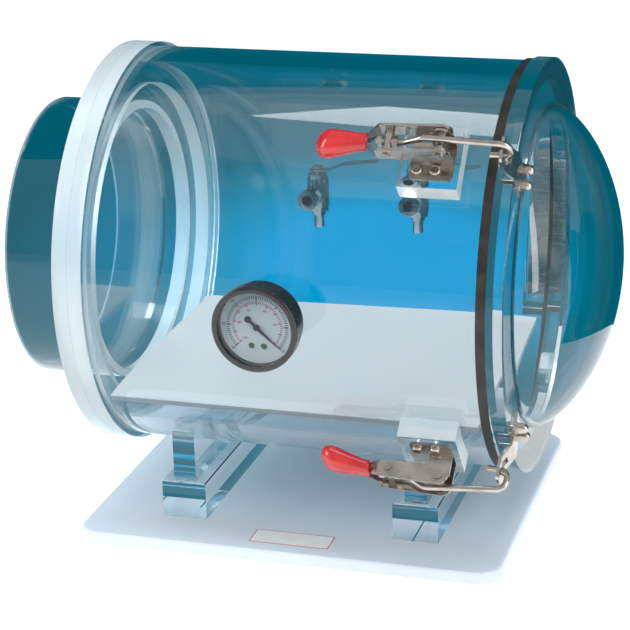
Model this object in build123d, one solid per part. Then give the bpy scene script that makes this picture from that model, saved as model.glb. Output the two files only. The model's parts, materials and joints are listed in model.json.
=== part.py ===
"""Clear acrylic vacuum chamber: a horizontal cylinder on a white base, with a hinged domed door.

Millimetres, +Z up. The cylinder lies along X with the door at +X. The origin is the middle of
the underside of the base plate. The gauge and the two door latches face -Y, and the two valves
and the door hinge face +Y.
"""
from build123d import *
import math
import os

# ---- base and supports ----------------------------------------------------------------------
BASE_X, BASE_Y, BASE_T = 355.6, 299.0, 9.5
BASE_CORNER, BASE_EDGE = 20.0, 2.5
SUPPORT_X = (-97.0, 101.0)
FOOT_X, FOOT_Y, FOOT_Z, FOOT_EDGE = 38.0, 208.0, 32.0, 0.8
SADDLE_X, SADDLE_Y, SADDLE_TOP = 19.0, 200.0, 84.0

# ---- cylinder -------------------------------------------------------------------------------
AXIS_Z = 217.1
TUBE_R, TUBE_BORE = 165.1, 152.4
TUBE_X0, TUBE_X1 = -149.8, 163.6
GLUE, RUNNING, SNUG = 0.1, 0.05, 0.03
RING_T, RING_R, RING_BORE = 12.4, 168.8, 134.2
END_PLATE_T = 12.5
COLLAR_R, COLLAR_BORE, COLLAR_X = 118.5, 112.1, -237.8
DISC_X, DISC_T = -192.1, 9.5
GASKET_T, GASKET_R, GASKET_BORE = 7.8, 166.6, 151.0
SHELF_TOP, SHELF_T, SHELF_Y = 128.0, 5.0, 246.0
SHELF_X0, SHELF_X1 = -147.0, 158.0

# ---- door -----------------------------------------------------------------------------------
SEAL_GAP = 0.2
DOOR_X0 = TUBE_X1 + GASKET_T + SEAL_GAP
DOOR_T, DOOR_R, DOOR_BORE = 12.8, 168.2, 126.0
DOOR_X1 = DOOR_X0 + DOOR_T
DOME_X0 = DOOR_X1 + GLUE
DOME_R, DOME_RISE, DOME_WALL = 132.0, 62.3, 6.0

# ---- door hinge -----------------------------------------------------------------------------
HINGE_X, HINGE_Y, HINGE_Z = 167.5, 178.5, 205.0
HINGE_LENGTH, HINGE_KNUCKLES = 150.0, 5
PIN_R, KNUCKLE_R, LEAF_T = 2.0, 3.5, 1.6
HINGE_FACE = 174.0
LEAF_X0, LEAF_X1 = 140.0, 184.0
HINGE_SCREW_R, HINGE_SCREW_HEAD, HINGE_SCREW_DEPTH = 2.0, 3.6, 5.4

# ---- latches --------------------------------------------------------------------------------
LATCH_ANGLES = {"upper": 43.0, "lower": -40.0}
FACE_R = 180.0
BLOCK_X0, BLOCK_X1, BLOCK_T0, BLOCK_T1 = 100.0, 146.0, -27.0, 25.0
SHEET = 2.0
FLANGE_X0, FLANGE_X1, FLANGE_T = 108.5, 142.0, -21.0
SCREW_X, SCREW_T, SCREW_R = (114.5, 128.5), -13.6, 2.2
EAR_X0, EAR_T = 124.0, 7.0
PIVOT_X, PIVOT_N, PIVOT_R = 133.5, 21.0, 3.0
TRUNNION_X, TRUNNION_N, TRUNNION_R = 93.5, 18.5, 3.5
RIVET_R = 2.0
HANDLE_T, HANDLE_END_R = 10.4, 8.0
GRIP_LENGTH, GRIP_NECK, GRIP_BULB = 42.0, 7.4, 12.0
ROD_R = 2.5
HOOK_TIP_X, HOOK_TOP, HOOK_BOTTOM = 185.0, 23.5, 6.5
NUT_AF, NUT_T = 8.0, 4.2

# ---- keepers on the door --------------------------------------------------------------------
KEEPER_SHEET, KEEPER_W = 2.4, 22.0
KEEPER_SLOT_W, KEEPER_SLOT_N = 8.0, (-3.0, 11.5)
KEEPER_BOLT_R, KEEPER_BOLT_T, KEEPER_BOLT_N = 2.4, 6.5, -27.0

# ---- vacuum gauge ---------------------------------------------------------------------------
GAUGE_X, GAUGE_Z = 4.0, 218.5
GAUGE_FRONT, GAUGE_BACK = -206.0, -179.0
CASE_R, BEZEL_R, BEZEL_Y, BEZEL_LIP = 31.5, 33.8, 12.0, 29.3
CASE_WALL, CASE_EDGE, BEZEL_EDGE = 1.8, 3.0, 2.2
WINDOW_Y0, WINDOW_T = GAUGE_FRONT + 2.5, 2.4
DIAL_R, DIAL_Y, DIAL_SCREW_R = 29.2, -196.0, 1.1
ZERO_ANGLE = -42.0
NEEDLE_LENGTH = 25.5
DIAL_SCREWS, DIAL_SCREW_Z = (GAUGE_X - 4.8, GAUGE_X + 4.8), GAUGE_Z - 15.0
SPRING_R, SPRING_ARC, SPRING_Y = 19.0, (-60, 250), GAUGE_BACK - 8.3

# ---- valves ---------------------------------------------------------------------------------
VALVE_X = {"left": -59.0, "right": 35.0}
PORT_R, PORT_BORE, PORT_FLANGE_R, PORT_FLANGE_T = 6.5, 5.0, 9.2, 6.5
PORT_SEAT = TUBE_BORE - 0.4
VALVE_Y, VALVE_R, VALVE_HALF = 186.0, 10.0, 14.0
BALL_R, STEM_R, LEVER_Z, FLOW_R = 7.0, 3.0, 22.0, 4.0
BOSS_AF, BOSS_T, COUPLING_AF, COUPLING_T = 16.0, 5.0, 18.0, 9.0
NOZZLE_R, NOZZLE_LENGTH, NOZZLE_BORE = 4.76, 12.0, 2.6
NOZZLE_HEX_AF, NOZZLE_HEX_T, NOZZLE_THREAD_R = 11.0, 4.0, 3.95

FROM_BASE = (Align.CENTER, Align.CENTER, Align.MIN)


def rod(x0, x1, radius, y=0.0, z=AXIS_Z):
    """A round bar along X, from x0 to x1."""
    return Location((x0, y, z), (0, 90, 0)) * Cylinder(radius, x1 - x0, align=FROM_BASE)


def pipe(x0, x1, radius, bore):
    """A round sleeve along the cylinder's axis."""
    return rod(x0, x1, radius) - rod(x0 - 1, x1 + 1, bore)


def rod_y(y0, y1, radius, x, z):
    """A round bar along Y, from y0 to y1."""
    return Location((x, y0, z), (-90, 0, 0)) * Cylinder(radius, y1 - y0, align=FROM_BASE)


def rod_z(z0, z1, radius, x, y):
    """A round bar along Z, from z0 to z1."""
    return Location((x, y, z0)) * Cylinder(radius, z1 - z0, align=FROM_BASE)


def block(x0, x1, y0, y1, z0, z1):
    """A box between two corners."""
    return Location(((x0 + x1) / 2, (y0 + y1) / 2, (z0 + z1) / 2)) * Box(x1 - x0, y1 - y0, z1 - z0)


def hexagon_bar(across_flats, length):
    """A hexagonal bar standing on Z = 0."""
    return extrude(RegularPolygon(across_flats / 2, 6, major_radius=False), length)


def group(pieces):
    """Separate solids that share one node."""
    return Compound(children=list(pieces))


# ---- base -----------------------------------------------------------------------------------
def base_plate():
    plate = extrude(RectangleRounded(BASE_X, BASE_Y, BASE_CORNER), BASE_T)
    return fillet(plate.edges().group_by(Axis.Z)[-1], BASE_EDGE)


def foot_bar(x):
    half_x, half_y = FOOT_X / 2, FOOT_Y / 2
    bar = block(x - half_x, x + half_x, -half_y, half_y, BASE_T + GLUE, BASE_T + FOOT_Z)
    return chamfer(bar.edges().group_by(Axis.Z)[-1], FOOT_EDGE)


def saddle(x):
    """An upright board whose top is hollowed to carry the cylinder."""
    half_x, half_y = SADDLE_X / 2, SADDLE_Y / 2
    board = block(x - half_x, x + half_x, -half_y, half_y, BASE_T + FOOT_Z + GLUE, SADDLE_TOP)
    return board - rod(x - SADDLE_X, x + SADDLE_X, TUBE_R + GLUE)


# ---- cylinder and its closed end ------------------------------------------------------------
def chamber_tube():
    tube = pipe(TUBE_X0, TUBE_X1, TUBE_R, TUBE_BORE)
    for x in VALVE_X.values():
        tube -= rod_y(TUBE_BORE - 10, TUBE_R + 10, PORT_R + GLUE, x, AXIS_Z)
    return tube - rod_y(-TUBE_R - 10, -TUBE_BORE + 10, PORT_R + GLUE, GAUGE_X, GAUGE_Z)


RING_X0 = TUBE_X0 - RING_T
PLATE_X0 = RING_X0 - END_PLATE_T


def shelf_tray():
    """A flat board laid across the cylinder's bore, with a small gap at each long edge."""
    half = SHELF_Y / 2
    board = block(SHELF_X0, SHELF_X1, -half, half, SHELF_TOP - SHELF_T, SHELF_TOP)
    return board & rod(SHELF_X0 - 1, SHELF_X1 + 1, TUBE_BORE - 0.3)


# ---- door -----------------------------------------------------------------------------------
def dome_profile(radius, rise):
    """Outline of the blown dome, right across it: r = radius * sqrt(1 - (h / rise) ** 1.5)."""
    points = []
    for step in range(19):
        turn = math.radians(step * 10)
        height = rise * math.sin(turn) ** (4 / 3)
        points.append((DOME_X0 + height, radius * math.cos(turn)))
    return Spline(*points)


def dome_solid(radius, rise):
    outline = make_face(dome_profile(radius, rise) + Line((DOME_X0, -radius), (DOME_X0, radius)))
    half = outline & (Location((DOME_X0 + rise / 2, radius / 2)) * Rectangle(rise + 2, radius))
    return Location((0, 0, AXIS_Z)) * revolve(Plane.XZ * half, Axis.X)


def door_dome():
    return dome_solid(DOME_R, DOME_RISE) - dome_solid(DOME_R - DOME_WALL, DOME_RISE - DOME_WALL)


def door_plate():
    plate = pipe(DOOR_X0, DOOR_X1, DOOR_R, DOOR_BORE)
    for bolt in keeper_bolt_sites():
        plate -= bolt * rod(DOOR_X0 + 1.8, DOOR_X1 + 1, KEEPER_BOLT_R + GLUE, z=0)
    return plate


# ---- hinge ----------------------------------------------------------------------------------
HINGE_Z0, HINGE_Z1 = HINGE_Z - HINGE_LENGTH / 2, HINGE_Z + HINGE_LENGTH / 2
HINGE_SCREW_Z = [HINGE_Z - 60, HINGE_Z - 20, HINGE_Z + 20, HINGE_Z + 60]
FIXED_SCREW_X = 149.0
DOOR_SCREW_X = 178.3
KNUCKLE_GAP = 0.15
RAIL_X0, RAIL_Y0 = 138.0, 140.0
RAIL_Z0, RAIL_Z1 = HINGE_Z0 - 8, HINGE_Z1 + 8


def hinge_screw(x, z):
    """A pan-head screw that goes in along -Y."""
    top = HINGE_FACE + LEAF_T
    shank = rod_y(HINGE_FACE - HINGE_SCREW_DEPTH, top, HINGE_SCREW_R, x, z)
    head = rod_y(top, top + 2.0, HINGE_SCREW_HEAD, x, z)
    return shank + fillet(head.edges().group_by(Axis.Y)[-1], 1.2)


def hinge_screw_holes(x):
    start = HINGE_FACE - HINGE_SCREW_DEPTH - GLUE
    radius = HINGE_SCREW_R + GLUE / 2
    return group(rod_y(start, HINGE_FACE + 4, radius, x, z) for z in HINGE_SCREW_Z)


def hinge_block():
    """A clear rail on the back of the cylinder, hollowed to fit it."""
    rail = block(RAIL_X0, TUBE_X1 - SEAL_GAP, RAIL_Y0, HINGE_FACE - GLUE, RAIL_Z0, RAIL_Z1)
    rail -= rod(RAIL_X0 - 1, TUBE_X1 + 1, TUBE_R + GLUE)
    return rail - hinge_screw_holes(FIXED_SCREW_X)


def door_hinge_block():
    """A clear rail on the back edge of the door, hollowed to fit it."""
    rail = block(DOOR_X0, DOOR_X1, RAIL_Y0, HINGE_FACE - GLUE, RAIL_Z0, RAIL_Z1)
    rail -= rod(DOOR_X0 - 1, DOOR_X1 + 1, DOOR_R + GLUE)
    return rail - hinge_screw_holes(DOOR_SCREW_X)


def hinge_leaf(plate_x0, plate_x1, screw_x, first):
    """One leaf: a plate with every other knuckle, rolled round the pin."""
    plate = block(plate_x0, plate_x1, HINGE_FACE, HINGE_FACE + LEAF_T, HINGE_Z0, HINGE_Z1)
    leaf = plate - hinge_screw_holes(screw_x)
    pitch = HINGE_LENGTH / HINGE_KNUCKLES
    arm_x = (min(plate_x1, HINGE_X), max(plate_x0, HINGE_X))
    for index in range(HINGE_KNUCKLES):
        z0 = HINGE_Z0 + index * pitch + KNUCKLE_GAP
        z1 = z0 + pitch - 2 * KNUCKLE_GAP
        if index % 2 == first:
            leaf += rod_z(z0, z1, KNUCKLE_R, HINGE_X, HINGE_Y)
            leaf += block(*arm_x, HINGE_FACE + 0.2, HINGE_FACE + LEAF_T + 0.8, z0, z1)
    return leaf - rod_z(HINGE_Z0 - 1, HINGE_Z1 + 1, PIN_R + RUNNING, HINGE_X, HINGE_Y)


def hinge_pin():
    shaft = rod_z(HINGE_Z0 - 1, HINGE_Z1 + 1, PIN_R, HINGE_X, HINGE_Y)
    cap = rod_z(HINGE_Z1 + 0.2, HINGE_Z1 + 1.6, KNUCKLE_R - 0.3, HINGE_X, HINGE_Y)
    return shaft + cap + rod_z(HINGE_Z0 - 1.6, HINGE_Z0 - 0.2, KNUCKLE_R - 0.3, HINGE_X, HINGE_Y)


# ---- latches --------------------------------------------------------------------------------
def latch_frame(name):
    """Latch coordinates: x along the cylinder, y away from its mid-plane, z outward from the block."""
    turn = math.radians(LATCH_ANGLES[name])
    outward = (0, -math.cos(turn), math.sin(turn))
    origin = (0, FACE_R * outward[1], AXIS_Z + FACE_R * outward[2])
    return Plane(origin=origin, x_dir=(1, 0, 0), z_dir=outward).location


def latch_side(name):
    return 1 if LATCH_ANGLES[name] > 0 else -1


def place(name, local):
    """Puts a piece drawn in latch coordinates on the chamber, mirrored for the lower latch."""
    if latch_side(name) < 0:
        local = mirror(local, Plane.XZ)
    return latch_frame(name) * local


def cross_bar(x, n, radius, half):
    """A round bar across the latch, through x and n."""
    return rod_y(-half, half, radius, x, n)


def latch_block(name):
    """A clear pad on the cylinder, flat outside and hollowed to fit it inside."""
    pad = block(BLOCK_X0, BLOCK_X1, BLOCK_T0, BLOCK_T1, -20, -GLUE)
    pad -= rod(BLOCK_X0 - 1, BLOCK_X1 + 1, TUBE_R + GLUE, z=-FACE_R)
    for x in SCREW_X:
        pad -= Location((x, SCREW_T, -13)) * Cylinder(SCREW_R + GLUE / 2, 14, align=FROM_BASE)
    return place(name, pad)


def latch_base(name):
    """A pressed bracket: a screw flange to one side and two ears that hold the pivot."""
    floor = block(FLANGE_X0, FLANGE_X1, FLANGE_T, EAR_T + SHEET, 0, SHEET)
    floor = fillet(floor.edges().filter_by(Axis.Z).group_by(Axis.Y)[0], 4)
    for side in (-1, 1):
        inner, outer = sorted((side * EAR_T, side * (EAR_T + SHEET)))
        ear = block(EAR_X0, FLANGE_X1, inner, outer, SHEET, PIVOT_N)
        ear += rod_y(inner, outer, 6.5, PIVOT_X, PIVOT_N)
        floor += ear
    floor -= cross_bar(PIVOT_X, PIVOT_N, PIVOT_R + SNUG, 15)
    for x in SCREW_X:
        floor -= Location((x, SCREW_T, -1)) * Cylinder(SCREW_R + GLUE / 2, 5, align=FROM_BASE)
    return place(name, floor)


def latch_screws(name):
    """Two pan-head screws through the flange into the pad."""
    screws = []
    for x in SCREW_X:
        shank = Location((x, SCREW_T, -12)) * Cylinder(SCREW_R, 12 + SHEET, align=FROM_BASE)
        head = Location((x, SCREW_T, SHEET)) * Cylinder(4.2, 2.8, align=FROM_BASE)
        head = fillet(head.edges().group_by(Axis.Z)[-1], 1.6)
        head -= Location((x, SCREW_T, SHEET + 2.8)) * Box(4.2, 0.9, 2.0)
        head -= Location((x, SCREW_T, SHEET + 2.8)) * Box(0.9, 4.2, 2.0)
        screws.append(place(name, shank + head))
    return screws


def latch_pivot(name):
    """The riveted pivot that the handle turns on."""
    outer = HANDLE_T + SHEET / 2
    pin = cross_bar(PIVOT_X, PIVOT_N, PIVOT_R, outer + 0.1)
    for side in (-1, 1):
        start, end = sorted((side * (outer + 0.1), side * (outer + 1.3)))
        pin += rod_y(start, end, PIVOT_R + 1.3, PIVOT_X, PIVOT_N)
    return place(name, pin)


def handle_solid():
    """Two side arms that close to one tongue, folded from one strip."""
    arms = Sketch()
    for side in (-1, 1):
        path = Polyline(
            (PIVOT_X + 8, side * HANDLE_T), (86, side * HANDLE_T), (76, side * 0.95), (46, side * 0.95))
        arms += trace(path, SHEET)
    folded = extrude(arms, 40)
    upper_edge = [(PIVOT_X, 29), (88, 26.5), (76, 21), (46, 14)]
    lower_edge = [(46, 6.5), (76, 12.5), (88, 13.5), (PIVOT_X, 13)]
    outline = Polyline(*upper_edge, *lower_edge, close=True)
    side_view = extrude(Plane.XZ * make_face(outline), 20, both=True)
    side_view += cross_bar(PIVOT_X, PIVOT_N, HANDLE_END_R, 20)
    folded = folded & side_view
    folded -= cross_bar(PIVOT_X, PIVOT_N, PIVOT_R + RUNNING, 20)
    return folded - cross_bar(TRUNNION_X, TRUNNION_N, RIVET_R + RUNNING, 20)


def grip_solid():
    """A dipped plastic grip over the tongue: round, wider towards its end."""
    taper = Cone(GRIP_NECK, GRIP_BULB, GRIP_LENGTH - GRIP_BULB, align=FROM_BASE)
    bulb = Location((0, 0, GRIP_LENGTH - GRIP_BULB)) * Sphere(GRIP_BULB)
    below = Location((0, 0, -GRIP_BULB)) * Box(40, 40, GRIP_BULB * 2)
    return Location((77, 0, 16.8), (0, -100.5, 0)) * (taper + bulb - below)


def trunnion(name):
    """The cross pin that the hook is screwed into, riveted into both arms."""
    inner = HANDLE_T - SHEET / 2 - 0.15
    outer = HANDLE_T + SHEET / 2
    pin = cross_bar(TRUNNION_X, TRUNNION_N, TRUNNION_R, inner)
    pin += cross_bar(TRUNNION_X, TRUNNION_N, RIVET_R, outer + 0.1)
    for side in (-1, 1):
        start, end = sorted((side * (outer + 0.1), side * (outer + 1.1)))
        pin += rod_y(start, end, RIVET_R + 1.4, TRUNNION_X, TRUNNION_N)
    return place(name, pin - rod(TRUNNION_X - 6, TRUNNION_X + 6, ROD_R + SNUG, z=TRUNNION_N))


def hook(name):
    """A bent rod: threaded at the trunnion, raised over the pivot, with a J at the door."""
    route = [
        (84.4, TRUNNION_N),
        (106, TRUNNION_N),
        (122, 27.8),
        (HOOK_TIP_X, HOOK_TOP),
        (HOOK_TIP_X, HOOK_BOTTOM),
        (168.5, HOOK_BOTTOM),
    ]
    path = Plane.XZ * FilletPolyline(*route, radius=[10, 10, 8, 8])
    return place(name, sweep(Plane(path @ 0, z_dir=path % 0) * Circle(ROD_R), path=path))


def hook_nuts(name):
    """One nut each side of the trunnion."""
    nuts = []
    for x in (TRUNNION_X - TRUNNION_R - 0.2 - NUT_T, TRUNNION_X + TRUNNION_R + 0.2):
        nut = Location((x, 0, TRUNNION_N), (0, 90, 0)) * hexagon_bar(NUT_AF, NUT_T)
        nuts.append(place(name, nut - rod(x - 1, x + NUT_T + 1, ROD_R + SNUG, z=TRUNNION_N)))
    return group(nuts)


# ---- keepers --------------------------------------------------------------------------------
def keeper_bolt_sites():
    """Where the keeper bolts stand: two in each latch's own coordinates."""
    sites = []
    for name in LATCH_ANGLES:
        for t in (-KEEPER_BOLT_T, KEEPER_BOLT_T):
            sites.append(latch_frame(name) * Location((0, t, KEEPER_BOLT_N)))
    return sites


def keeper(name):
    """A bent strip: flat on the door, then stepped back past the rim, with a slot for the hook."""
    x0, x1 = DOOR_X1 + 0.1 + KEEPER_SHEET / 2, 179.2
    bend = Polyline((x0, -39), (x0, -10.5), (x1, 1.5), (x1, 19.5))
    strip = extrude(Plane.XZ * trace(bend, KEEPER_SHEET), KEEPER_W / 2, both=True)
    strip = fillet(strip.edges().filter_by(Axis.X).group_by(Axis.Z)[-1], 4)
    low, high = KEEPER_SLOT_N
    half = KEEPER_SLOT_W / 2
    strip -= block(170, 190, -half, half, low, high)
    for t in (-KEEPER_BOLT_T, KEEPER_BOLT_T):
        strip -= rod(180, 190, KEEPER_BOLT_R + GLUE, y=t, z=KEEPER_BOLT_N)
    return place(name, strip)


def keeper_bolts():
    return group(site * rod(DOOR_X0 + 2, DOOR_X1 + 9, KEEPER_BOLT_R, z=0) for site in keeper_bolt_sites())


def keeper_nuts():
    """An acorn nut on a washer, on each bolt."""
    seat = DOOR_X1 + 0.1 + KEEPER_SHEET
    pieces = []
    for site in keeper_bolt_sites():
        hexagon = Location((seat + 0.9, 0, 0), (0, 90, 0)) * hexagon_bar(8.4, 4.6)
        crown = Location((seat + 5.5, 0, 0)) * Sphere(3.9)
        nut = hexagon + (crown & block(seat + 5.5, seat + 10, -5, 5, -5, 5))
        nut += rod(seat, seat + 0.9, 5.0, z=0)
        pieces.append(site * (nut - rod(seat - 1, DOOR_X1 + 9.1, KEEPER_BOLT_R + GLUE / 2, z=0)))
    return group(pieces)


# ---- vacuum gauge ---------------------------------------------------------------------------
def gauge_bar(y0, y1, radius):
    return rod_y(y0, y1, radius, GAUGE_X, GAUGE_Z)


def gauge_case():
    shell = gauge_bar(GAUGE_FRONT + 5, GAUGE_BACK, CASE_R)
    shell = fillet(shell.edges().group_by(Axis.Y)[-1], CASE_EDGE)
    shell -= gauge_bar(GAUGE_FRONT, GAUGE_BACK - 3, CASE_R - CASE_WALL)
    return shell - gauge_bar(GAUGE_BACK - 5, GAUGE_BACK + 5, PORT_R + GLUE)


def gauge_bezel():
    ring = gauge_bar(GAUGE_FRONT, GAUGE_FRONT + BEZEL_Y, BEZEL_R)
    ring = fillet(ring.edges().group_by(Axis.Y)[0], BEZEL_EDGE)
    ring -= gauge_bar(GAUGE_FRONT - 1, GAUGE_FRONT + BEZEL_Y + 1, BEZEL_LIP)
    return ring - gauge_bar(WINDOW_Y0 - GLUE, GAUGE_FRONT + BEZEL_Y + 1, CASE_R + GLUE)


def gauge_dial():
    face = gauge_bar(DIAL_Y, DIAL_Y + 1, DIAL_R) - gauge_bar(DIAL_Y - 1, DIAL_Y + 2, 1.4)
    for x in DIAL_SCREWS:
        face -= rod_y(DIAL_Y - 1, DIAL_Y + 2, DIAL_SCREW_R + RUNNING, x, DIAL_SCREW_Z)
    return face


def gauge_dial_screws():
    screws = []
    for x in DIAL_SCREWS:
        shank = rod_y(DIAL_Y, DIAL_Y + 3.5, DIAL_SCREW_R, x, DIAL_SCREW_Z)
        head = rod_y(DIAL_Y - 0.8, DIAL_Y, 2 * DIAL_SCREW_R, x, DIAL_SCREW_Z)
        screws.append(shank + head)
    return group(screws)


def gauge_needle():
    """Pointer, counterweight, hub and spindle, drawn pointing along +X and turned to zero."""
    tip, tail, front, back = NEEDLE_LENGTH, -9.0, -2.6, -2.0
    pointer = make_face(Polyline((tip, 0), (2, 1.3), (tail, 0.9), (tail, -0.9), (2, -1.3), close=True))
    flat = extrude(Plane.XZ * pointer, back - front, dir=(0, 1, 0))
    flat = Location((0, front, 0)) * flat
    flat += rod_y(front, back, 2.6, tail, 0)
    flat += rod_y(front - 0.5, back + 0.3, 2.4, 0, 0)
    flat += rod_y(back, 4.0, 1.0, 0, 0)
    return Location((GAUGE_X, DIAL_Y, GAUGE_Z)) * Rotation(0, -ZERO_ANGLE, 0) * flat


def tube_socket():
    """The arm and post, inside the case, that carry the end of the spring tube."""
    start = CenterArc((0, 0), SPRING_R, *SPRING_ARC) @ 0
    x, z = GAUGE_X + start.X, GAUGE_Z + start.Y
    arm = block(GAUGE_X - 4, x + 3, GAUGE_BACK - 6, GAUGE_BACK - 3.1, z - 3, GAUGE_Z)
    return arm + block(x - 3, x + 3, SPRING_Y - 2.5, GAUGE_BACK - 6, z - 3, z + 3)


def gauge_stem():
    """The brass stem: screwed into the cylinder wall, hexagon outside, socket in the case."""
    stem = gauge_bar(GAUGE_BACK - 6, -TUBE_BORE - 0.4, PORT_R)
    nut = Location((GAUGE_X, GAUGE_BACK + 0.2, GAUGE_Z), (-90, 0, 0)) * hexagon_bar(15, 13.0)
    stem += nut
    stem += tube_socket()
    return stem - gauge_bar(GAUGE_BACK - 3, -TUBE_BORE + 2, 2.5)


def bourdon_tube():
    """The curved spring tube that drives the needle, held in the socket's post."""
    arc = CenterArc((0, 0), SPRING_R, *SPRING_ARC)
    path = Location((GAUGE_X, SPRING_Y, GAUGE_Z)) * (Plane.XZ * arc)
    return sweep(Plane(path @ 0, z_dir=path % 0) * Ellipse(2.2, 1.1), path=path) - tube_socket()


def gauge_movement():
    """The brass movement behind the dial, with a bore for the spindle."""
    frame = block(GAUGE_X - 8, GAUGE_X + 8, DIAL_Y + 2.2, GAUGE_BACK - 6.1, GAUGE_Z - 8, GAUGE_Z + 8)
    return frame - gauge_bar(DIAL_Y, DIAL_Y + 5, 1.1)


# ---- valves ---------------------------------------------------------------------------------
def bulkhead(x):
    """The flanged port that goes through the cylinder wall into the valve."""
    port = rod_y(PORT_SEAT - PORT_FLANGE_T, VALVE_Y - VALVE_R - 1, PORT_R, x, AXIS_Z)
    flange = rod_y(PORT_SEAT - PORT_FLANGE_T, PORT_SEAT, PORT_FLANGE_R, x, AXIS_Z)
    return port + flange - rod_y(TUBE_BORE - 10, VALVE_Y, PORT_BORE, x, AXIS_Z)


def valve_body(x):
    """An upright body with a side port, a bonnet on top and an outlet boss below."""
    z0, z1 = AXIS_Z - VALVE_HALF, AXIS_Z + VALVE_HALF
    body = rod_z(z0, z1, VALVE_R, x, VALVE_Y)
    coupling = Location((x, TUBE_R + 0.3, AXIS_Z), (-90, 0, 0)) * hexagon_bar(COUPLING_AF, COUPLING_T)
    body += coupling + rod_y(TUBE_R + COUPLING_T, VALVE_Y, 8.5, x, AXIS_Z)
    for boss_z in (z1, z0 - BOSS_T):
        body += Location((x, VALVE_Y, boss_z)) * hexagon_bar(BOSS_AF, BOSS_T)
    body -= rod_y(TUBE_R - 1, VALVE_Y - VALVE_R - 0.9, PORT_R + GLUE, x, AXIS_Z)
    body -= rod_y(VALVE_Y - VALVE_R - 1, VALVE_Y, FLOW_R, x, AXIS_Z)
    body -= Location((x, VALVE_Y, AXIS_Z)) * Sphere(BALL_R + RUNNING)
    body -= rod_z(AXIS_Z, z1 + 6, STEM_R + RUNNING, x, VALVE_Y)
    return body - rod_z(z0 - BOSS_T - 1, AXIS_Z, FLOW_R, x, VALVE_Y)


def valve_ball(x):
    """The drilled ball: in from the side, out below, slotted for the stem."""
    ball = Location((x, VALVE_Y, AXIS_Z)) * Sphere(BALL_R)
    ball -= rod_y(VALVE_Y - 10, VALVE_Y, FLOW_R, x, AXIS_Z)
    ball -= rod_z(AXIS_Z - 10, AXIS_Z, FLOW_R, x, VALVE_Y)
    return ball - block(x - 8, x + 8, VALVE_Y - 1, VALVE_Y + 1, AXIS_Z + 4.5, AXIS_Z + 8)


def valve_stem(x):
    """The stem: a tongue in the ball's slot, a round shank and a cap over the lever."""
    top = AXIS_Z + LEVER_Z
    shank = rod_z(AXIS_Z + BALL_R, top + 2.0, STEM_R, x, VALVE_Y)
    tongue = block(x - 2.4, x + 2.4, VALVE_Y - 0.95, VALVE_Y + 0.95, AXIS_Z + 4.6, AXIS_Z + BALL_R)
    cap = Location((x, VALVE_Y, top + 2.0)) * hexagon_bar(9, 3.5)
    return shank + tongue + cap


def valve_lever(x):
    """A pressed handle that leaves the stem flat, then rises to its tip."""
    side = Polyline((-7, 1), (10, 1), (26, 9), (58, 13))
    strip = extrude(Plane.XZ * trace(side, 2.0), 6, both=True)
    plan = SlotCenterToCenter(54, 12)
    strip = strip & extrude(Location((25, 0, -5)) * plan, 30)
    strip -= Cylinder(STEM_R + RUNNING, 20)
    return Location((x, VALVE_Y, AXIS_Z + LEVER_Z - 0.1)) * strip


def valve_nozzle(x):
    """A smooth hose nozzle with a hexagon, screwed up into the outlet."""
    outlet = AXIS_Z - VALVE_HALF - BOSS_T
    shoulder = outlet - NOZZLE_HEX_T
    nozzle = rod_z(outlet - 3, outlet + 6, NOZZLE_THREAD_R, x, VALVE_Y)
    nozzle += Location((x, VALVE_Y, shoulder)) * hexagon_bar(NOZZLE_HEX_AF, NOZZLE_HEX_T)
    nozzle += rod_z(shoulder - NOZZLE_LENGTH, shoulder, NOZZLE_R, x, VALVE_Y)
    return nozzle - rod_z(shoulder - NOZZLE_LENGTH - 1, outlet + 8, NOZZLE_BORE, x, VALVE_Y)


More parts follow.
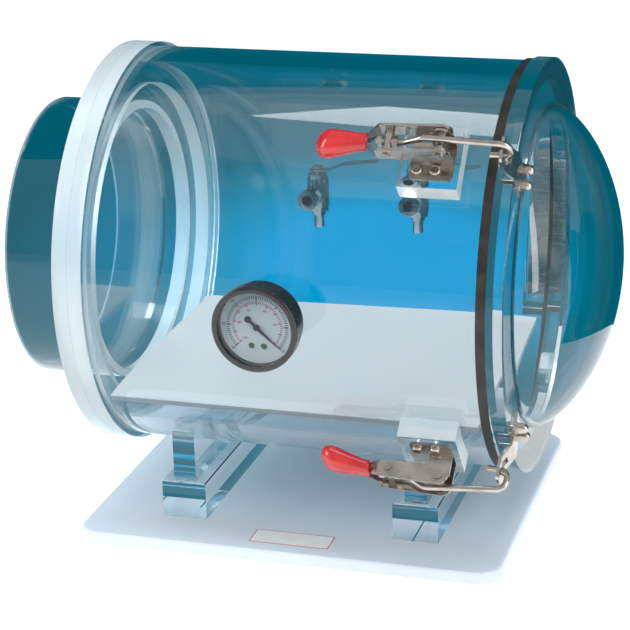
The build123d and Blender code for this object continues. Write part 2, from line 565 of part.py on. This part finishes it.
# ---- all nodes ------------------------------------------------------------------------------
def nodes():
    made = {
        "base_plate": base_plate(),
        "chamber_tube": chamber_tube(),
        "tube_end_ring": pipe(RING_X0 + GLUE, TUBE_X0 - GLUE, RING_R, RING_BORE),
        "end_plate": pipe(PLATE_X0, RING_X0, RING_R, COLLAR_R + GLUE),
        "end_collar": pipe(COLLAR_X, RING_X0, COLLAR_R, COLLAR_BORE),
        "collar_disc": rod(DISC_X, DISC_X + DISC_T, COLLAR_BORE - GLUE),
        "rim_gasket": pipe(TUBE_X1 + GLUE, TUBE_X1 + GASKET_T, GASKET_R, GASKET_BORE),
        "shelf_tray": shelf_tray(),
        "door_plate": door_plate(),
        "door_dome": door_dome(),
        "hinge_block": hinge_block(),
        "door_hinge_block": door_hinge_block(),
        "hinge_fixed_leaf": hinge_leaf(LEAF_X0, HINGE_X - KNUCKLE_R - 0.2, FIXED_SCREW_X, 0),
        "hinge_door_leaf": hinge_leaf(HINGE_X + KNUCKLE_R + 0.2, LEAF_X1, DOOR_SCREW_X, 1),
        "hinge_pin": hinge_pin(),
        "hinge_block_screws": group(hinge_screw(FIXED_SCREW_X, z) for z in HINGE_SCREW_Z),
        "door_hinge_screws": group(hinge_screw(DOOR_SCREW_X, z) for z in HINGE_SCREW_Z),
        "keeper_bolts": keeper_bolts(),
        "keeper_nuts": keeper_nuts(),
        "gauge_case": gauge_case(),
        "gauge_bezel": gauge_bezel(),
        "gauge_window": gauge_bar(WINDOW_Y0, WINDOW_Y0 + WINDOW_T, CASE_R),
        "gauge_dial": gauge_dial(),
        "gauge_dial_screws": gauge_dial_screws(),
        "gauge_needle": gauge_needle(),
        "gauge_stem": gauge_stem(),
        "bourdon_tube": bourdon_tube(),
        "gauge_movement": gauge_movement(),
        "valve_bulkheads": group(bulkhead(x) for x in VALVE_X.values()),
        "valve_nozzles": group(valve_nozzle(x) for x in VALVE_X.values()),
    }
    for name, x in zip(("left", "right"), SUPPORT_X):
        made[f"{name}_foot_bar"] = foot_bar(x)
        made[f"{name}_saddle"] = saddle(x)
    for name, x in VALVE_X.items():
        made[f"{name}_valve_body"] = valve_body(x)
        made[f"{name}_valve_ball"] = valve_ball(x)
        made[f"{name}_valve_stem"] = valve_stem(x)
        made[f"{name}_valve_lever"] = valve_lever(x)
    frame = handle_solid()
    for name in LATCH_ANGLES:
        made[f"{name}_latch_block"] = latch_block(name)
        made[f"{name}_latch_base"] = latch_base(name)
        made[f"{name}_handle_frame"] = place(name, frame)
        made[f"{name}_grip"] = place(name, grip_solid() - frame)
        made[f"{name}_trunnion"] = trunnion(name)
        made[f"{name}_hook"] = hook(name)
        made[f"{name}_hook_nuts"] = hook_nuts(name)
        made[f"{name}_keeper"] = keeper(name)
    made["latch_screws"] = group(latch_screws("upper") + latch_screws("lower"))
    made["latch_pivots"] = group(latch_pivot(name) for name in LATCH_ANGLES)
    return made


def main():
    os.makedirs("parts", exist_ok=True)
    for name, shape in nodes().items():
        export_step(shape, f"parts/{name}.step")


main()
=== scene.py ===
"""The looks of a clear cylindrical vacuum chamber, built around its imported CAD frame."""
import json
import math

import bmesh
import bpy
from mathutils import Matrix, Vector


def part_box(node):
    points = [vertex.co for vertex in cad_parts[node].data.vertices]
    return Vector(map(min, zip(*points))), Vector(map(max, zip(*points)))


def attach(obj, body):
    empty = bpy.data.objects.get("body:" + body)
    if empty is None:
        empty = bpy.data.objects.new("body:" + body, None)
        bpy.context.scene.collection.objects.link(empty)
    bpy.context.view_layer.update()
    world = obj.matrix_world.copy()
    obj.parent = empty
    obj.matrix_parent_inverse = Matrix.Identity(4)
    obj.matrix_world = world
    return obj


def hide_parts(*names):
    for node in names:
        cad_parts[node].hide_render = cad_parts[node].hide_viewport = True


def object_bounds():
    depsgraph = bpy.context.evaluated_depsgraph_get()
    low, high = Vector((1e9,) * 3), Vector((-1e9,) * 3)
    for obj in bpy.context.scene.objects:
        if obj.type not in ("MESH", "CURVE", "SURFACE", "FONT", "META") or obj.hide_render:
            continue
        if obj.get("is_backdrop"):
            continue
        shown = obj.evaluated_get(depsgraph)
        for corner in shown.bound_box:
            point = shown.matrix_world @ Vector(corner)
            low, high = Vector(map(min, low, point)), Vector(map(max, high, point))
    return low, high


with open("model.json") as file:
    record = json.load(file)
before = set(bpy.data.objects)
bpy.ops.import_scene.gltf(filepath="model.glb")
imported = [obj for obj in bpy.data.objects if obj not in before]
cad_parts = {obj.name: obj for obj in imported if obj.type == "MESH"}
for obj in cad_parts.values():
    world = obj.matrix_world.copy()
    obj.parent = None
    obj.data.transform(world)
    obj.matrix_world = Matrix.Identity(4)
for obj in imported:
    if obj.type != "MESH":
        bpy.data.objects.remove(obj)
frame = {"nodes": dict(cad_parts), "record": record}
cad_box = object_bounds()
NODES = frame["nodes"]
JOINTS = {joint["name"]: joint for joint in frame["record"]["behaviour"]["joints"]}
MM = 0.001
X_AXIS = Vector((1, 0, 0))


# ---- materials ------------------------------------------------------------------------------
class Finish:
    """A Principled material with helpers for the nodes that vary it over the surface."""

    def __init__(self, name, **values):
        self.material = bpy.data.materials.new(name)
        self.material.use_nodes = True
        self.tree = self.material.node_tree
        self.shader = self.tree.nodes["Principled BSDF"]
        for key, value in values.items():
            self.shader.inputs[key.replace("_", " ")].default_value = value
        self.place = self.node("ShaderNodeTexCoord").outputs["Object"]

    def node(self, kind, **inputs):
        made = self.tree.nodes.new(kind)
        for key, value in inputs.items():
            made.inputs[key.replace("_", " ")].default_value = value
        return made

    def link(self, source, target):
        self.tree.links.new(source, target)

    def stretched(self, scale):
        """The surface's own coordinates, stretched to draw brushing or grain along one way."""
        mapping = self.node("ShaderNodeMapping", Scale=scale)
        self.link(self.place, mapping.inputs["Vector"])
        return mapping.outputs["Vector"]

    def noise(self, scale, detail=4.0, roughness=0.55, at=None):
        made = self.node("ShaderNodeTexNoise", Scale=scale, Detail=detail, Roughness=roughness)
        self.link(at or self.place, made.inputs["Vector"])
        return made.outputs["Fac"]

    def ramp(self, source, *stops):
        """Colours at positions along a value: stops are (position, colour)."""
        made = self.node("ShaderNodeValToRGB")
        self.link(source, made.inputs["Fac"])
        points = made.color_ramp.elements
        while len(points) < len(stops):
            points.new(0.5)
        for point, (position, colour) in zip(points, stops):
            point.position = position
            point.color = (*colour, 1)
        return made.outputs["Color"]

    def spread(self, source, low, high, start=0.3, end=0.7):
        """A value from start to end, moved into the range low to high and held there."""
        made = self.node("ShaderNodeMapRange",
                         From_Min=start, From_Max=end, To_Min=low, To_Max=high)
        self.link(source, made.inputs["Value"])
        return made.outputs["Result"]

    def colour(self, source):
        self.link(source, self.shader.inputs["Base Color"])
        return self

    def rough(self, source):
        self.link(source, self.shader.inputs["Roughness"])
        return self

    def bump(self, source, strength, depth):
        made = self.node("ShaderNodeBump", Strength=strength, Distance=depth)
        self.link(source, made.inputs["Height"])
        self.link(made.outputs["Normal"], self.shader.inputs["Normal"])
        return self


def let_lamps_through(look, tint):
    """Lamps light what is behind or inside a clear piece, at a slight loss."""
    clear = look.node("ShaderNodeBsdfTransparent", Color=tint)
    rays = look.node("ShaderNodeLightPath")
    mix = look.node("ShaderNodeMixShader")
    look.link(rays.outputs["Is Shadow Ray"], mix.inputs["Fac"])
    look.link(look.shader.outputs["BSDF"], mix.inputs[1])
    look.link(clear.outputs["BSDF"], mix.inputs[2])
    look.link(mix.outputs["Shader"], look.tree.nodes["Material Output"].inputs["Surface"])


# The part of a face's normal that lies along a direction: below the first number the face is
# turned away from it, and above the second it faces it.
AWAY_BELOW, FACING_ABOVE = 0.45, 0.6
CUT_ROUGHNESS = 0.32
CUT_TRANSMISSION = 0.72


def turned_away(look, way):
    """1 on faces that are turned away from one direction of the piece, else 0."""
    turned = look.node("ShaderNodeVectorMath")
    turned.operation = "DOT_PRODUCT"
    look.link(look.tree.nodes["Texture Coordinate"].outputs["Normal"], turned.inputs[0])
    turned.inputs[1].default_value = way
    size = look.node("ShaderNodeMath")
    size.operation = "ABSOLUTE"
    look.link(turned.outputs["Value"], size.inputs[0])
    return look.spread(size.outputs[0], 1.0, 0.0, AWAY_BELOW, FACING_ABOVE)


def acrylic(name, way=None, cut_faces_it=False):
    """Polished clear acrylic with light handling marks.

    If a way is given, the faces turned away from it are left as cut, which is paler and duller.
    With cut_faces_it, the faces that look along the way are the cut ones.
    """
    look = Finish(name, Base_Color=(0.965, 0.992, 1, 1), IOR=1.49, Transmission_Weight=1.0)
    marks = look.spread(look.noise(38, 6), 0.0, 0.03, 0.45, 0.75)
    if way is None:
        look.rough(marks)
    else:
        cut = turned_away(look, way)
        if cut_faces_it:
            cut = look.spread(cut, 1.0, 0.0, 0.0, 1.0)
        dull = look.node("ShaderNodeMath")
        dull.operation = "MULTIPLY_ADD"
        look.link(cut, dull.inputs[0])
        dull.inputs[1].default_value = CUT_ROUGHNESS
        look.link(marks, dull.inputs[2])
        look.rough(dull.outputs[0])
        clearness = look.spread(cut, 1.0, CUT_TRANSMISSION, 0.0, 1.0)
        look.link(clearness, look.shader.inputs["Transmission Weight"])
    look.bump(look.noise(14, 2), 0.01, 0.002)
    let_lamps_through(look, (0.93, 0.975, 0.985, 1))
    return look.material


def white_sheet(name, dark, light, grain):
    """Satin white plastic sheet with faint clouding and a fine moulded grain."""
    look = Finish(name, IOR=1.5, Coat_Weight=0.15, Coat_Roughness=0.2)
    look.colour(look.ramp(look.noise(6, 2), (0.2, dark), (0.8, light)))
    look.rough(look.spread(look.noise(45, 5), 0.30, 0.35, 0.1, 0.9))
    return look.bump(look.noise(grain, 3), 0.04, 0.0002).material


def rubber():
    """Dull, nearly black rubber with a fine grain, and lighter brown patches painted into its
    colour as a sheen.
    """
    look = Finish("gasket_rubber", Specular_IOR_Level=0.4)
    # Painted sheen: the ramp's lighter, brown end stands in for a sheen on black rubber.
    look.colour(look.ramp(look.noise(60, 5),
                          (0.3, (0.008, 0.007, 0.006)), (0.75, (0.04, 0.032, 0.026))))
    look.rough(look.spread(look.noise(120, 4), 0.35, 0.6))
    return look.bump(look.noise(900, 3), 0.25, 0.0002).material


def brushed(name, dark, light, low, high, stretch):
    """Metal with brushing drawn out along one way, and softer smudges over it."""
    look = Finish(name, Metallic=1.0)
    lines = look.noise(1.0, 5, 0.6, at=look.stretched(stretch))
    look.colour(look.ramp(look.noise(70, 5), (0.3, dark), (0.7, light)))
    look.rough(look.spread(lines, low, high))
    return look.bump(lines, 0.05, 0.0002).material


def red_vinyl():
    """Glossy dipped vinyl: deep red, a little uneven, with a wet-looking skin."""
    look = Finish("red_grip", IOR=1.5, Coat_Weight=0.6, Coat_Roughness=0.06, Subsurface_Weight=0.06)
    look.colour(look.ramp(look.noise(55, 4),
                          (0.3, (0.40, 0.006, 0.008)), (0.7, (0.56, 0.016, 0.016))))
    look.rough(look.spread(look.noise(160, 4), 0.16, 0.3))
    return look.bump(look.noise(190, 2), 0.1, 0.0005).material


def plain_gloss(name, dark, light, low, high):
    """Moulded or painted surface, from roughness low to high."""
    look = Finish(name, IOR=1.5, Coat_Weight=0.3, Coat_Roughness=0.1)
    look.colour(look.ramp(look.noise(80, 4), (0.3, dark), (0.7, light)))
    look.rough(look.spread(look.noise(240, 4), low, high))
    return look.bump(look.noise(500, 3), 0.05, 0.0002).material


def window_glass():
    """The gauge's clear window, with faint smears."""
    look = Finish("gauge_glass", Base_Color=(0.97, 0.99, 1, 1), IOR=1.47, Transmission_Weight=1.0)
    look.rough(look.spread(look.noise(90, 5), 0.0, 0.02, 0.45, 0.7))
    let_lamps_through(look, (0.96, 0.98, 0.98, 1))
    return look.material


LOOKS = {
    "clear_acrylic": acrylic("clear_acrylic"),
    "white_board": white_sheet("white_board", (0.640, 0.695, 0.770), (0.655, 0.710, 0.785), 700),
    "white_shelf": white_sheet("white_shelf", (0.530, 0.530, 0.545), (0.550, 0.550, 0.565), 600),
    "gasket_rubber": rubber(),
    "stainless": brushed("stainless", (0.40, 0.35, 0.30), (0.60, 0.55, 0.50), 0.16, 0.30,
                         (60, 900, 900)),
    "chrome": brushed("chrome", (0.50, 0.52, 0.54), (0.66, 0.68, 0.69), 0.06, 0.16,
                      (200, 200, 200)),
    "red_grip": red_vinyl(),
    "black_case": plain_gloss("black_case", (0.006, 0.006, 0.007), (0.016, 0.016, 0.018),
                              0.16, 0.3),
    "gauge_glass": window_glass(),
    "dial_face": plain_gloss("dial_face", (0.90, 0.91, 0.95), (0.94, 0.95, 0.98), 0.4, 0.55),
    "needle_black": plain_gloss("needle_black", (0.004, 0.004, 0.004), (0.012, 0.012, 0.012),
                                0.3, 0.5),
    "brass": brushed("brass", (0.55, 0.38, 0.15), (0.80, 0.60, 0.30), 0.18, 0.34,
                     (300, 300, 300)),
}
PRINT_RED = plain_gloss("print_red", (0.45, 0.02, 0.02), (0.58, 0.04, 0.04), 0.4, 0.55)
LABEL_WHITE = plain_gloss("label_white", (0.78, 0.78, 0.76), (0.85, 0.85, 0.83), 0.3, 0.45)

for part in frame["record"]["subparts"]:
    for holder in NODES[part["node"]].material_slots:
        holder.material = LOOKS[part["material_slot"]]


def finish_cut_faces():
    """Leaves the turned rims, the ends of tube and collar and the pads' sides as they are cut."""
    turned_rim = acrylic("acrylic_turned_rim", X_AXIS)
    sawn_end = acrylic("acrylic_sawn_end", X_AXIS, cut_faces_it=True)
    for name in ("tube_end_ring", "end_plate"):
        NODES[name].material_slots[0].material = turned_rim
    for name in ("chamber_tube", "end_collar"):
        NODES[name].material_slots[0].material = sawn_end
    for side in ("upper", "lower"):
        outwards = X_AXIS.cross(Vector(JOINTS[f"{side}_handle_pivot"]["axis"]).normalized())
        pad = acrylic(f"acrylic_{side}_pad", outwards)
        NODES[f"{side}_latch_block"].material_slots[0].material = pad


finish_cut_faces()


# ---- making pieces --------------------------------------------------------------------------
def piece(name, mesh, body, slot, material=None, smooth=False):
    """A named piece that rides on a body and takes its finish from a slot.

    smooth=None keeps the shading that the mesh was built with.
    """
    made = bpy.data.objects.new(name, mesh)
    bpy.context.collection.objects.link(made)
    mesh.materials.append(material or LOOKS[slot])
    if smooth is not None:
        for face in mesh.polygons:
            face.use_smooth = smooth
    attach(made, body)
    return made


def mesh_from(name, build):
    """A mesh that build(bm) fills, with its faces turned outwards."""
    bm = bmesh.new()
    build(bm)
    bmesh.ops.recalc_face_normals(bm, faces=bm.faces)
    mesh = bpy.data.meshes.new(name)
    bm.to_mesh(mesh)
    bm.free()
    return mesh


def lofted(bm, rings):
    """A closed skin over rings of points, each ring the same length."""
    rows = [[bm.verts.new(point) for point in ring] for ring in rings]
    count = len(rows[0])
    for near, far in zip(rows, rows[1:]):
        for i in range(count):
            j = (i + 1) % count
            bm.faces.new((near[i], near[j], far[j], far[i]))
    bm.faces.new(rows[0])
    bm.faces.new(rows[-1])


# ---- latches --------------------------------------------------------------------------------
# In a latch's own millimetres: along the cylinder (X) and outwards from its pad (N).
PIVOT_X, PIVOT_N = 133.5, 21.0
GRIP_X, GRIP_N = 77.0, 16.8
GRIP_TILT_DEG = 10.5
GRIP_LENGTH = 42.0
GRIP_NECK_R = 7.2
GRIP_SWELL = 4.5
GRIP_SWELL_LENGTH = 34
GRIP_ROUND_FROM = 31
GRIP_FLATTENED = 0.9
GRIP_LIP, GRIP_LIP_LENGTH = 0.5, 1.5
GRIP_CROWDING = 1.6     # over 1, the rings stand closer together towards the tip
SMALLEST_END = 0.0004   # keeps the last ring from closing to a point


def latch_frame(side):
    """Turns a latch's own millimetres (along, across, outwards) into the shared frame."""
    pivot = JOINTS[f"{side}_handle_pivot"]
    across = Vector(pivot["axis"]).normalized()
    outwards = X_AXIS.cross(across)
    origin = Vector(pivot["pos_m"]) - X_AXIS * PIVOT_X * MM - outwards * PIVOT_N * MM

    def place(along, over, out):
        return origin + (X_AXIS * along + across * over + outwards * out) * MM

    return place


def grip(side):
    """A dipped grip: a snug neck that swells to a rounded, slightly flattened bulb."""
    place = latch_frame(side)
    tilt = math.radians(GRIP_TILT_DEG)
    sections, around = 26, 32

    def ring(step):
        share = step / (sections - 1)
        length = GRIP_LENGTH * (1 - (1 - share) ** GRIP_CROWDING)
        along = min(length / GRIP_SWELL_LENGTH, 1)
        swell = GRIP_NECK_R + GRIP_SWELL * math.sin(along * math.pi / 2) ** 2
        end = max(0.0, (length - GRIP_ROUND_FROM) / (GRIP_LENGTH - GRIP_ROUND_FROM))
        radius = swell * math.sqrt(max(1 - end ** 2, SMALLEST_END))
        lip = GRIP_LIP if length < GRIP_LIP_LENGTH else 0.0
        centre_x = GRIP_X - length * math.cos(tilt)
        centre_n = GRIP_N - length * math.sin(tilt)
        points = []
        for i in range(around):
            turn = 2 * math.pi * i / around
            over = (radius + lip) * math.cos(turn)
            out = (radius + lip) * GRIP_FLATTENED * math.sin(turn)
            points.append(place(centre_x + out * math.sin(tilt), over,
                                centre_n + out * math.cos(tilt)))
        return points

    def build(bm):
        lofted(bm, [ring(i) for i in range(sections)])

    mesh = mesh_from(f"{side}_grip_skin", build)
    made = piece(f"{side}_grip_skin", mesh, f"{side}_handle", "red_grip", smooth=True)
    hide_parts(f"{side}_grip")


for side in ("upper", "lower"):
    grip(side)


# ---- dome -----------------------------------------------------------------------------------
DOME_WALL = 6.0 * MM
DOME_POWER = 4 / 3


def dome_skin():
    """The blown dome, turned finely enough that what is seen through it stays smooth."""
    low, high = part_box("door_dome")
    middle_z = (low.z + high.z) / 2
    around, steps = 180, 40

    def shell(bm, radius, rise):
        """Half a wall, from the rim to the tip: r = radius * sqrt(1 - (height / rise) ** 1.5)."""
        rings = []
        for step in range(steps):
            slope = math.pi / 2 * step / steps
            height = rise * math.sin(slope) ** DOME_POWER
            ring = []
            for i in range(around):
                turn = 2 * math.pi * i / around
                y = radius * math.cos(slope) * math.cos(turn)
                z = radius * math.cos(slope) * math.sin(turn)
                ring.append(bm.verts.new((low.x + height, y, middle_z + z)))
            rings.append(ring)
        tip = bm.verts.new((low.x + rise, 0, middle_z))
        for i in range(around):
            j = (i + 1) % around
            for near, far in zip(rings, rings[1:]):
                bm.faces.new((near[i], near[j], far[j], far[i])).smooth = True
            bm.faces.new((rings[-1][i], rings[-1][j], tip)).smooth = True
        return rings[0]

    def build(bm):
        radius, rise = (high.z - low.z) / 2, high.x - low.x
        outer = shell(bm, radius, rise)
        inner = shell(bm, radius - DOME_WALL, rise - DOME_WALL)
        for i in range(around):
            j = (i + 1) % around
            bm.faces.new((outer[i], outer[j], inner[j], inner[i]))

    made = piece("dome_skin", mesh_from("dome_skin", build), "door", "clear_acrylic", smooth=None)
    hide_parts("door_dome")


dome_skin()


# ---- gauge dial -----------------------------------------------------------------------------
needle = JOINTS["needle_turn"]
DIAL_CENTRE = Vector(needle["pos_m"])
DIAL_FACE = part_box("gauge_dial")[0].y
ZERO_DEG = -42.0
SWEEP_DEG = needle["range_deg"][1]
PRINT_T = 0.00008
LONG_MARK_W, SHORT_MARK_W = 0.0009, 0.0006
LONG_MARK_EXTRA = 0.0012
OUTER_MARKS, INNER_MARKS = (0.0218, 0.0244), (0.0180, 0.0198)
OUTER_NUMBERS_R, INNER_NUMBERS_R = 0.0267, 0.0140
NUMBER_SIZE = 0.0031
OUTER_TOP, INNER_TOP = 30, 100


def on_dial(radius, degrees):
    """X and Z of a point on the dial, its angle measured from the right and upwards."""
    turn = math.radians(degrees)
    return DIAL_CENTRE.x + radius * math.cos(turn), DIAL_CENTRE.z + radius * math.sin(turn)


def mark(bm, inner, outer, width, degrees):
    """One printed mark, a thin plate from the inner to the outer radius."""
    side = width / 2 / outer * 180 / math.pi
    corners = [(inner, -side), (outer, -side), (outer, side), (inner, side)]
    back, front = [], []
    for radius, aside in corners:
        x, z = on_dial(radius, degrees + aside)
        back.append(bm.verts.new((x, DIAL_FACE, z)))
        front.append(bm.verts.new((x, DIAL_FACE - PRINT_T, z)))
    bm.faces.new(back)
    bm.faces.new(front)
    for i in range(4):
        j = (i + 1) % 4
        bm.faces.new((back[i], back[j], front[j], front[i]))


def scale(name, count, every, reach, material):
    """A ring of marks, with a longer one every so many."""
    inner, outer = reach

    def build(bm):
        for i in range(count + 1):
            major = i % every == 0
            start = inner - LONG_MARK_EXTRA if major else inner
            width = LONG_MARK_W if major else SHORT_MARK_W
            mark(bm, start, outer, width, ZERO_DEG + SWEEP_DEG * i / count)

    piece(name, mesh_from(name, build), "chamber", "dial_face", material)


def numerals(name, values, top, radius, material):
    """The numbers beside a ring of marks, read upright."""
    middle_y = DIAL_FACE - PRINT_T / 2
    bm = bmesh.new()
    for value in values:
        text = bpy.data.curves.new("numeral", "FONT")
        text.body = str(value)
        text.size = NUMBER_SIZE
        text.extrude = PRINT_T / 2
        text.align_x = "CENTER"
        text.align_y = "CENTER"
        holder = bpy.data.objects.new("numeral", text)
        flat = bpy.data.meshes.new_from_object(holder)
        x, z = on_dial(radius, ZERO_DEG + SWEEP_DEG * value / top)
        flat.transform(Matrix.Translation((x, middle_y, z)) @ Matrix.Rotation(math.pi / 2, 4, "X"))
        bm.from_mesh(flat)
        bpy.data.objects.remove(holder)
        bpy.data.meshes.remove(flat)
        bpy.data.curves.remove(text)
    bmesh.ops.remove_doubles(bm, verts=bm.verts, dist=1e-7)
    mesh = bpy.data.meshes.new(name)
    bm.to_mesh(mesh)
    bm.free()
    piece(name, mesh, "chamber", "dial_face", material)


scale("dial_outer_marks", 60, 10, OUTER_MARKS, LOOKS["needle_black"])
scale("dial_inner_marks", 50, 5, INNER_MARKS, PRINT_RED)
numerals("dial_outer_numbers", range(0, OUTER_TOP + 1, 5), OUTER_TOP, OUTER_NUMBERS_R,
         LOOKS["needle_black"])
numerals("dial_inner_numbers", range(0, INNER_TOP + 1, 20), INNER_TOP, INNER_NUMBERS_R, PRINT_RED)


# ---- label ----------------------------------------------------------------------------------
BASE_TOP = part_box("base_plate")[1].z
LABEL = ((-31 * MM, -135 * MM), (36 * MM, -111.5 * MM))
LABEL_RIM = 0.8 * MM
LABEL_EDGE_T, LABEL_T = 0.1 * MM, 0.18 * MM     # heights of the edge and the face over the base
LABEL_EDGE_CORNER_R, LABEL_CORNER_R = 1.2 * MM, 0.8 * MM


def plate(bm, low, high, z0, z1, radius, steps=6):
    """A thin plate with rounded corners."""
    def outline():
        right, left = high[0] - radius, low[0] + radius
        back, front = high[1] - radius, low[1] + radius
        centres = [(right, back, 0), (left, back, 90), (left, front, 180), (right, front, 270)]
        for x, y, start in centres:
            for i in range(steps + 1):
                turn = math.radians(start + 90 * i / steps)
                yield x + radius * math.cos(turn), y + radius * math.sin(turn)
    points = list(outline())
    lofted(bm, [[(x, y, z) for x, y in points] for z in (z0, z1)])


def label():
    """A plain label: a red edge under a slightly smaller white face, with no lettering."""
    (x0, y0), (x1, y1) = LABEL
    edge_top = BASE_TOP + LABEL_EDGE_T
    edge = mesh_from("label_edge", lambda bm: plate(
        bm, (x0, y0), (x1, y1), BASE_TOP, edge_top, LABEL_EDGE_CORNER_R))
    piece("label_edge", edge, "chamber", "white_board", PRINT_RED)
    face = mesh_from("label_face", lambda bm: plate(
        bm, (x0 + LABEL_RIM, y0 + LABEL_RIM), (x1 - LABEL_RIM, y1 - LABEL_RIM), edge_top,
        BASE_TOP + LABEL_T, LABEL_CORNER_R))
    piece("label_face", face, "chamber", "white_board", LABEL_WHITE)


label()


# ---- studio ---------------------------------------------------------------------------------
FLOOR_HALF = 20
FLOOR_Z, CARD_Z = -0.0002, -0.0001
FLOOR_GLOW = 0.42
CARD_RADIUS, CARD_HEIGHT, CARD_STEPS = 0.5, 1.1, 96
GLOW_AT = (-0.08, 0.48, 0.05)
GLOW_SHAPE = (1, 1, 2)
GLOW = ((0.12, (0.0, 0.37, 0.74)), (0.2, (0.0, 0.28, 0.48)),
        (0.29, (0.0, 0.15, 0.225)), (0.42, (0.0, 0.105, 0.155)))
MIDDLE = (0, 0, 0.2)
WORLD_COLOUR, WORLD_STRENGTH = (0.93, 0.95, 0.97, 1), 0.62
CLEAR_BOUNCES, MOST_BOUNCES = 32, 48


def floor():
    """A wide pale floor that also glows a little, so that it is white far behind the object."""
    look = Finish("floor", Specular_IOR_Level=0.2, Roughness=0.6,
                  Emission_Color=(0.98, 0.99, 1, 1), Emission_Strength=FLOOR_GLOW)
    look.colour(look.ramp(look.noise(1.5, 2),
                          (0.3, (0.90, 0.905, 0.91)), (0.7, (0.92, 0.925, 0.93))))
    mesh = mesh_from("floor", lambda bm: bmesh.ops.create_grid(
        bm, x_segments=1, y_segments=1, size=FLOOR_HALF))
    mesh.materials.append(look.material)
    made = bpy.data.objects.new("floor", mesh)
    made.location.z = FLOOR_Z
    bpy.context.collection.objects.link(made)
    made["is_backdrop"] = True


def card_material():
    """Blue card with a lit spot behind the object, which falls off to a dark teal."""
    look = Finish("blue_card")
    reach = look.node("ShaderNodeVectorMath")
    reach.operation = "DISTANCE"
    look.link(look.stretched(GLOW_SHAPE), reach.inputs[0])
    reach.inputs[1].default_value = [place * scale for place, scale in zip(GLOW_AT, GLOW_SHAPE)]
    glow = look.node("ShaderNodeEmission")
    look.link(look.ramp(reach.outputs["Value"], *GLOW), glow.inputs["Color"])
    look.link(glow.outputs["Emission"], look.tree.nodes["Material Output"].inputs["Surface"])
    return look.material


def blue_card(name, from_deg, to_deg, with_floor, seen_through):
    """An upright blue card on a round line, met by light through clear parts or by reflections."""
    def build(bm):
        low, high = [], []
        for i in range(CARD_STEPS + 1):
            turn = math.radians(from_deg + (to_deg - from_deg) * i / CARD_STEPS)
            x, y = CARD_RADIUS * math.cos(turn), CARD_RADIUS * math.sin(turn)
            low.append(bm.verts.new((x, y, CARD_Z)))
            high.append(bm.verts.new((x, y, CARD_HEIGHT)))
        for i in range(CARD_STEPS):
            bm.faces.new((low[i], low[i + 1], high[i + 1], high[i]))
        if with_floor:
            bm.faces.new(low)

    mesh = mesh_from(name, build)
    mesh.materials.append(card_material())
    card = bpy.data.objects.new(name, mesh)
    bpy.context.collection.objects.link(card)
    card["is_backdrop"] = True
    card.visible_camera = False
    card.visible_diffuse = False
    card.visible_shadow = False
    card.visible_transmission = seen_through
    card.visible_glossy = not seen_through


def softbox(name, at, width, height, power, mirrored=True):
    """A rectangular lamp that faces the object, which reflections show if it is mirrored."""
    light = bpy.data.lights.new(name, "AREA")
    light.shape = "RECTANGLE"
    light.size = width
    light.size_y = height
    light.energy = power
    holder = bpy.data.objects.new(name, light)
    holder.location = at
    holder.rotation_euler = (Vector(MIDDLE) - Vector(at)).to_track_quat("-Z", "Y").to_euler()
    holder.visible_glossy = mirrored
    bpy.context.collection.objects.link(holder)


def studio():
    """The floor, the cards, the lamps, the world's light and how the light is traced."""
    floor()
    blue_card("blue_tray", 0, 359.9, with_floor=True, seen_through=True)
    blue_card("blue_backdrop", 0, 200, with_floor=False, seen_through=False)
    softbox("key", (-1.1, -1.5, 1.7), 1.1, 1.1, 15, mirrored=False)
    softbox("top", (0.1, 0.2, 2.1), 1.4, 0.5, 15, mirrored=False)
    softbox("left_strip", (-1.6, -0.7, 0.9), 0.25, 1.2, 8)
    softbox("right_strip", (1.5, -0.6, 0.7), 0.25, 1.4, 8)
    softbox("fill", (0.6, -2.4, 0.9), 1.6, 1.0, 6, mirrored=False)
    world = bpy.data.worlds.new("studio")
    world.use_nodes = True
    background = world.node_tree.nodes["Background"]
    background.inputs["Color"].default_value = WORLD_COLOUR
    background.inputs["Strength"].default_value = WORLD_STRENGTH
    scene = bpy.context.scene
    scene.world = world
    scene.view_settings.view_transform = "Standard"
    scene.cycles.max_bounces = MOST_BOUNCES
    scene.cycles.transmission_bounces = CLEAR_BOUNCES
    scene.cycles.glossy_bounces = CLEAR_BOUNCES
    scene.cycles.transparent_max_bounces = CLEAR_BOUNCES


# ---- camera ---------------------------------------------------------------------------------
# Fitted to the outlines in the photo, without a lens shift.
CAMERA_AT = (0.4776, -1.5896, 0.7368)
CAMERA_TURN_DEG = (70.86, 1.374, 16.61)
LENS_MM, SENSOR_MM = 118.9, 36
NEAREST = 0.05


def camera():
    data = bpy.data.cameras.new("camera")
    data.lens = LENS_MM
    data.sensor_width = SENSOR_MM
    data.clip_start = NEAREST
    holder = bpy.data.objects.new("camera", data)
    holder.location = CAMERA_AT
    holder.rotation_euler = [math.radians(angle) for angle in CAMERA_TURN_DEG]
    bpy.context.collection.objects.link(holder)
    bpy.context.scene.camera = holder


studio()
camera()

visual_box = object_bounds()
boxes = {"cad": cad_box, "visual": visual_box}
{name: [list(corner) for corner in box] for name, box in boxes.items()}
